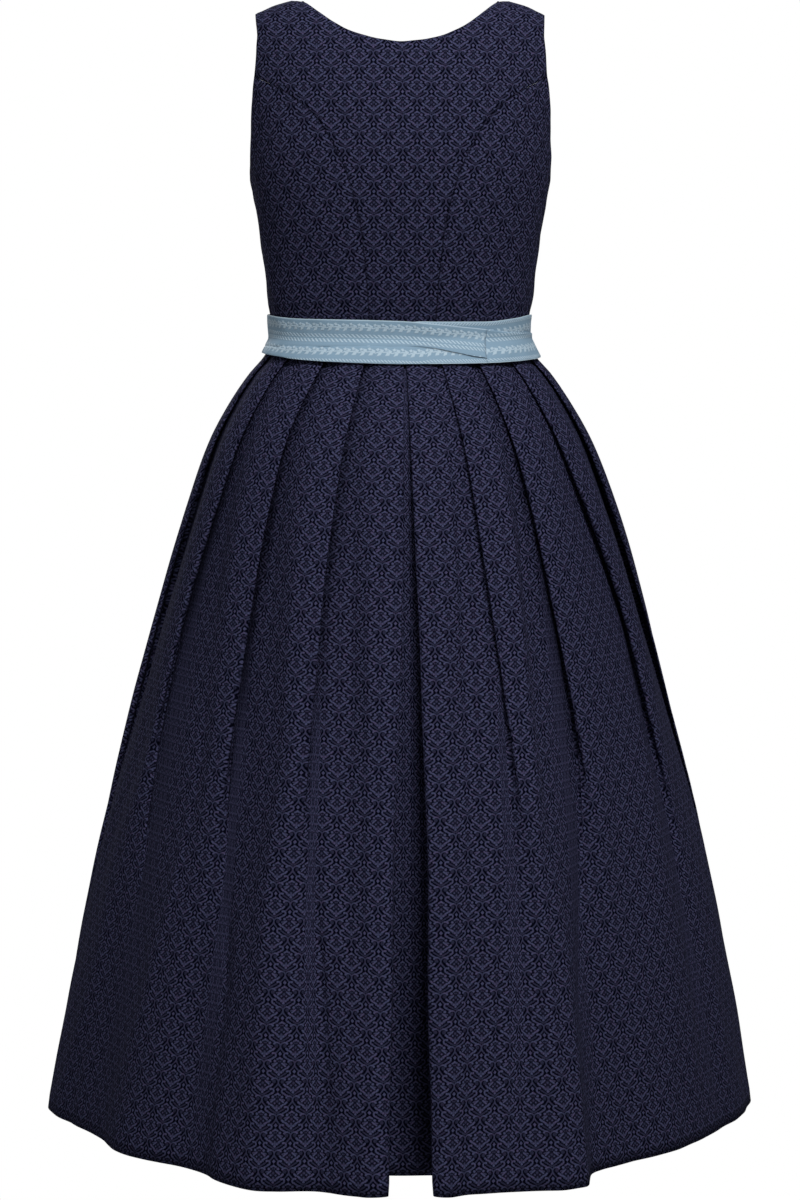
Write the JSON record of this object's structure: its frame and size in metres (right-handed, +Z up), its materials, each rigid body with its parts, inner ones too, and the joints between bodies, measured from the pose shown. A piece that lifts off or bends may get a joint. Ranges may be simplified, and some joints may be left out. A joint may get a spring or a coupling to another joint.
{
  "type": "dirndl dress",
  "caption": "Sleeveless dirndl dress with a fitted bodice with princess seams, a full pleated midi skirt and a ribbon band tied round the waist, standing open and hollow as worn.",
  "frame": {"origin": "midway between the two shoulder straps, level with their undersides at the neck ends, where the wearer's shoulders carry the dress", "axes": "+Z up; the wearer faces -Y, so the back of the dress faces +Y; +X is the wearer's left"},
  "size_m": [0.7133, 0.7365, 1.1044],
  "materials": {
    "jacquard": "matte navy jacquard with a small woven lattice in slate blue",
    "ribbon": "soft pale blue woven ribbon with raised sprigs and rope lines",
    "zip": "matte navy zip tape"
  },
  "bodies": {
    "root": {"back_centre": "jacquard", "back_side_left": "jacquard", "back_side_right": "jacquard", "front_side_left": "jacquard", "front_side_right": "jacquard", "front_left": "jacquard", "front_right": "jacquard", "skirt_back": "jacquard", "skirt_front_left": "jacquard", "skirt_front_right": "jacquard", "front_zip": "zip", "band_under": "ribbon", "band_over_left": "ribbon", "band_over_right": "ribbon"}
  },
  "joints": []
}
